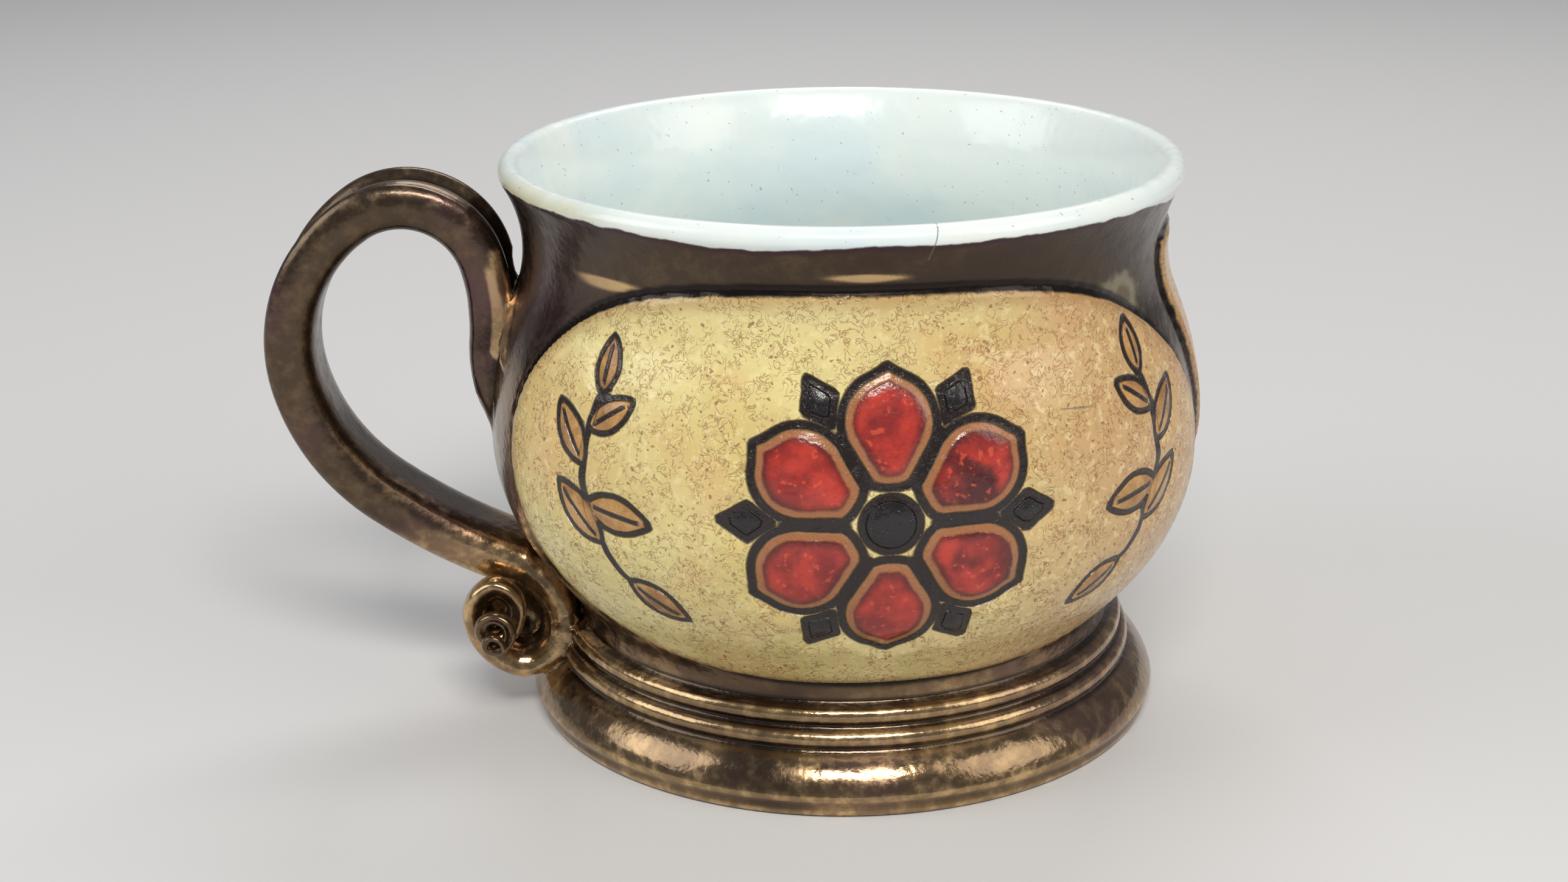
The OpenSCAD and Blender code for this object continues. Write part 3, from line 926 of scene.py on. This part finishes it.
# Painted shade: less gold and a darker brown on the neck and strap, for their dark reflection.
gold = times(bronze, gold, minus(bronze, 1.0, times(bronze, upper, 0.74)))
gold = plus(bronze, gold, times(bronze, rubbed_and_glint, 0.8), clamp=True)
tone = blend(bronze, gold, DARK_BRONZE, GOLD)
neck_shade = times(bronze, upper, minus(bronze, 0.65, gold, clamp=True))
tone = blend(bronze, neck_shade, tone, NECK_SHADE_BROWN)
violet = times(bronze, ramp(bronze, noise(bronze, 38.0, 2.0), 0.52, 0.7), 0.4)
tone = blend(bronze, violet, tone, VIOLET)
# Painted shade: hollows darkened to near black.
tone = blend(bronze, times(bronze, low, 0.75), tone, GROOVE_AND_SHADE_BLACK)
bronze.links.new(tone, result["Colour"])
dull = plus(bronze, times(bronze, upper, 0.10), 0.16)
bronze.links.new(plus(bronze, times(bronze, streaks, 0.15), dull), result["Roughness"])
grain = times(bronze, noise(bronze, 950.0), 0.16)
dents = times(bronze, noise(bronze, 230.0), 0.5)
bronze.links.new(plus(bronze, grain, dents), result["Height"])

# %% [markdown]
# The panel glaze is a yellow-tan with pinker clouds, and small brown squiggles all over it:
# these are the places where a noise passes through its middle value, which draws worm-like
# lines, kept only where a second noise is high. Towards the right of the front it turns browner.
# %% Panel, petal and leaf glazes
tan, _, result = group("speckled_tan", [], ["Colour", "Height"])
drift = plus(tan, read(tan, "turn"), times(tan, noise(tan, 45.0), 40.0))
side = times(tan, ramp(tan, drift, 10.0, 75.0), ramp(tan, read(tan, "turn"), 160.0, 100.0))
mottle = ramp(tan, noise(tan, 60.0, 4.0, 0.6, 0.5), 0.38, 0.66)
tone = blend(tan, mottle, screen(210, 192, 124), screen(214, 180, 120))
tone = blend(tan, ramp(tan, noise(tan, 26.0, 3.0), 0.42, 0.62), tone, screen(220, 206, 142))
tone = blend(tan, times(tan, side, 0.75), tone, screen(190, 150, 106))
worms = math_node(tan, "ABSOLUTE", minus(tan, noise(tan, 720.0, 2.0, 0.5, 1.2), 0.5))
worms = ramp(tan, worms, 0.035, 0.012)
worms = times(tan, worms, ramp(tan, noise(tan, 330.0, 2.0), 0.38, 0.54))
dots = ramp(tan, noise(tan, 1150.0, 1.0), 0.66, 0.74)
grains = times(tan, ramp(tan, noise(tan, 820.0, 2.0), 0.54, 0.66), 0.4)
tone = blend(tan, grains, tone, screen(236, 222, 168))
flecks = larger(tan, times(tan, worms, 0.6), times(tan, dots, 0.8))
tone = blend(tan, flecks, tone, screen(146, 92, 52))
rim = zone_mask(tan, read(tan, "panel"), 3.2, 0.1, 2.0, 220.0)
tone = blend(tan, times(tan, rim, 0.55), tone, screen(150, 104, 58))
tan.links.new(tone, result["Colour"])
grain = times(tan, noise(tan, 620.0, 4.0), 0.6)
tan.links.new(plus(tan, times(tan, flecks, -0.25), grain), result["Height"])

red, _, result = group("mottled_red", [], ["Colour", "Height"])
mottle = ramp(red, noise(red, 170.0, 4.0, 0.6), 0.38, 0.64)
tone = blend(red, mottle, screen(136, 40, 36), screen(184, 58, 46))
tone = blend(red, ramp(red, noise(red, 85.0, 3.0, 0.5, 0.6), 0.52, 0.68), tone, screen(74, 24, 26))
sparks = times(red, ramp(red, noise(red, 900.0, 1.0), 0.6, 0.72), 0.5)
tone = blend(red, sparks, tone, screen(222, 92, 66))
fringe = zone_mask(red, read(red, "petal"), 2.6, 1.2, 1.2, 260.0)
tone = blend(red, times(red, fringe, 0.8), tone, screen(72, 26, 24))
red.links.new(tone, result["Colour"])
waves = times(red, noise(red, 330.0), 0.7)
grain = times(red, noise(red, 1100.0), 0.3)
red.links.new(plus(red, waves, grain), result["Height"])

earth, _, result = group("leaf_brown", [], ["Colour"])
mottle = ramp(earth, noise(earth, 240.0, 4.0), 0.36, 0.66)
tone = blend(earth, mottle, screen(150, 106, 60), screen(194, 150, 88))
earth.links.new(tone, result["Colour"])

# %% [markdown]
# The white glaze inside is thick and smooth, with a bluish drift and a few dark pits. Near the
# handle it is thin under the lip and turns yellowish there.
# %% White glaze
milk, _, result = group("white_glaze", [], ["Colour", "Height"])
mottle = ramp(milk, noise(milk, 40.0, 3.0), 0.4, 0.64)
tone = blend(milk, mottle, screen(226, 234, 230), screen(214, 228, 230))
drift = plus(milk, read(milk, "turn"), times(milk, noise(milk, 120.0), 30.0))
left = times(milk, ramp(milk, drift, -8.0, -48.0), ramp(milk, read(milk, "turn"), -170.0, -110.0))
thin = times(milk, left, zone_mask(milk, read(milk, "white"), 3.2, 0.2, 1.4, 180.0))
tone = blend(milk, times(milk, thin, 0.85), tone, screen(196, 190, 146))
pits = ramp(milk, noise(milk, 1300.0, 1.0), 0.735, 0.76)
tone = blend(milk, times(milk, pits, 0.5), tone, screen(120, 110, 104))
milk.links.new(tone, result["Colour"])
milk.links.new(noise(milk, 160.0, 2.0), result["Height"])

# %% [markdown]
# ## One material from all the glazes
# The pot could have one material for each glaze, but their edges would then follow the mesh's
# faces. One material with masks lets them wander. Each mask comes from one outline: inside the
# panel, in the groove round it, on the white, on its fringe, in a petal, on a cut line.
# %% Masks
glazes.use_nodes = True
tree = glazes.node_tree
shader = tree.nodes["Principled BSDF"]
lustre_part = add_group(tree, bronze)
tan_part = add_group(tree, tan)
red_part = add_group(tree, red)
earth_part = add_group(tree, earth)
milk_part = add_group(tree, milk)
dark = screen(30, 20, 18)


def mask(name, start, end, wobble, scale=400.0):
    return zone_mask(tree, read(tree, name), start, end, wobble, scale)


def over(name, start, end):
    return ramp(tree, read(tree, name), start, end)


m_panel = mask("panel", -0.1, 0.3, 0.5)
m_moat = minus(tree, mask("panel", -1.7, -1.2, 0.5), m_panel, clamp=True)
m_white = mask("white", -0.15, 0.15, 1.0, 220.0)
m_fringe = minus(tree, mask("white", -1.1, -0.3, 1.0, 220.0), m_white, clamp=True)
m_petal = mask("petal", 0.1, 0.4, 0.3)
petal_line = minus(tree, mask("petal", -1.15, -0.8, 0.3), m_petal, clamp=True)
m_red = mask("petal", 1.0, 1.5, 0.7)
m_black = times(tree, mask("black", 0.2, 0.5, 0.3), over("petal", -0.7, -1.0))
black_line = times(tree, mask("black", -0.9, -0.6, 0.3), over("petal", -0.4, -0.7))
m_leaf = mask("leaf", 0.05, 0.35, 0.3)
leaf_line = mask("leaf", -0.75, -0.45, 0.3)
stem_line = times(tree, near_line(tree, "stem", 0.8, 0.5, 0.25), over("span", 0.0, 0.4))
vein_line = times(tree, near_line(tree, "vein", 0.45, 0.2, 0.2), over("leaf", 0.5, 0.8))
m_stain = times(tree, mask("stain", 0.1, 0.45, 0.9, 260.0), 0.55)
m_core = mask("stain_core", 0.1, 0.5, 0.9, 260.0)
m_crack = times(tree, near_line(tree, "crack", 0.16, 0.05, 0.12), over("reach", 0.0, 0.3))
print("nodes for the masks:", len(tree.nodes))

# %% [markdown]
# The colours are stacked in the order in which the potter lays the glazes: lustre first, white
# over the lip with a purple-brown fringe along its edge, the panel, then the cut lines and the
# fills inside them.
# %% Stack of colours
tone = blend(tree, m_stain, lustre_part.outputs["Colour"], screen(150, 144, 112))
tone = blend(tree, times(tree, m_core, 0.7), tone, screen(84, 60, 40))
tone = blend(tree, m_moat, tone, GROOVE_AND_SHADE_BLACK)
tone = blend(tree, m_fringe, tone, screen(74, 52, 58))
tone = blend(tree, m_white, tone, milk_part.outputs["Colour"])
tone = blend(tree, m_panel, tone, tan_part.outputs["Colour"])
tone = blend(tree, larger(tree, stem_line, leaf_line), tone, dark)
tone = blend(tree, m_leaf, tone, earth_part.outputs["Colour"])
tone = blend(tree, larger(tree, vein_line, black_line), tone, dark)
tone = blend(tree, m_black, tone, screen(26, 22, 24))
tone = blend(tree, petal_line, tone, dark)
tone = blend(tree, m_petal, tone, screen(158, 104, 66))
tone = blend(tree, m_red, tone, red_part.outputs["Colour"])
tone = blend(tree, times(tree, m_crack, 0.75), tone, screen(120, 104, 96))
tree.links.new(tone, shader.inputs["Base Color"])
print("nodes with the colours:", len(tree.nodes))

# %% [markdown]
# The same masks steer the shine. Lustre is a metal film and the other glazes are glass, and a
# thin clear coat lies over both. The bump carries each glaze's own grain and the cut lines.
# %% Shine and bump
METAL, COAT, COAT_ROUGH = 0.92, 0.18, 0.06


def add_surface(tree, height, depth):
    """The thin clear coat and the bump, which both materials have."""
    shader = tree.nodes["Principled BSDF"]
    shader.inputs["Coat Weight"].default_value = COAT
    shader.inputs["Coat Roughness"].default_value = COAT_ROUGH
    bumps = node(tree, "ShaderNodeBump", Height=height, Strength=1.0, Distance=depth).outputs[0]
    tree.links.new(bumps, shader.inputs["Normal"])
    tree.links.new(bumps, shader.inputs["Coat Normal"])


glassy = larger(tree, m_panel, m_white)
metal = minus(tree, minus(tree, 1.0, glassy), m_stain, clamp=True)
tree.links.new(times(tree, metal, METAL), shader.inputs["Metallic"])
rough = blend_values(tree, glassy, lustre_part.outputs["Roughness"], 0.22)
tree.links.new(rough, shader.inputs["Roughness"])
leaf_cut = minus(tree, leaf_line, m_leaf)
black_cut = minus(tree, black_line, m_black)
cut = larger(tree, larger(tree, petal_line, stem_line), larger(tree, leaf_cut, black_cut))
cut = larger(tree, cut, times(tree, vein_line, 0.6))
fine = blend_values(tree, m_panel, lustre_part.outputs["Height"], tan_part.outputs["Height"])
fine = blend_values(tree, m_red, fine, red_part.outputs["Height"])
fine = blend_values(tree, m_white, fine, milk_part.outputs["Height"])
relief = minus(tree, times(tree, fine, 0.28), times(tree, cut, 0.45))
add_surface(tree, relief, 0.001)
print("nodes in the glaze material:", len(tree.nodes))

# %% [markdown]
# The handle is dipped in the lustre alone, so its material is the bronze group and nothing else.
# %% Lustre on the handle
lustre.use_nodes = True
tree = lustre.node_tree
shader = tree.nodes["Principled BSDF"]
part = add_group(tree, bronze)
tree.links.new(part.outputs["Colour"], shader.inputs["Base Color"])
tree.links.new(part.outputs["Roughness"], shader.inputs["Roughness"])
shader.inputs["Metallic"].default_value = METAL
add_surface(tree, part.outputs["Height"], 0.00028)
print("nodes in the handle's material:", len(tree.nodes))

# %% [markdown]
# ## Table
# A plain pale sheet curves up behind the cup. It is not attached to any body, so it isn't part of the
# model.
# %% Backdrop
sheet = [(y, 0.0) for y in np.linspace(-1.4, 0.9, 12)]
sheet += [(0.9 + 0.5 * math.sin(a), 0.5 - 0.5 * math.cos(a)) for a in np.linspace(0.1, math.pi / 2, 12)]
sheet += [(1.4, 1.2), (1.4, 2.0)]
backdrop_mesh = bpy.data.meshes.new("backdrop")
points = [(x, y, z) for y, z in sheet for x in (-2.5, 2.5)]
strips = [(2 * i, 2 * i + 1, 2 * i + 3, 2 * i + 2) for i in range(len(sheet) - 1)]
backdrop_mesh.from_pydata(points, [], strips)
backdrop = bpy.data.objects.new("backdrop", backdrop_mesh)
bpy.context.collection.objects.link(backdrop)
choose(backdrop)
bpy.ops.object.shade_smooth()
paper = bpy.data.materials.new("paper")
paper.use_nodes = True
paper_shader = paper.node_tree.nodes["Principled BSDF"]
paper_shader.inputs["Base Color"].default_value = (0.60, 0.60, 0.60, 1)
paper_shader.inputs["Roughness"].default_value = 0.85
backdrop_mesh.materials.append(paper)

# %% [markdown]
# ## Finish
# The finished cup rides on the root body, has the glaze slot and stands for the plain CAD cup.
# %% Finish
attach(cup, "root")
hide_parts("cup")
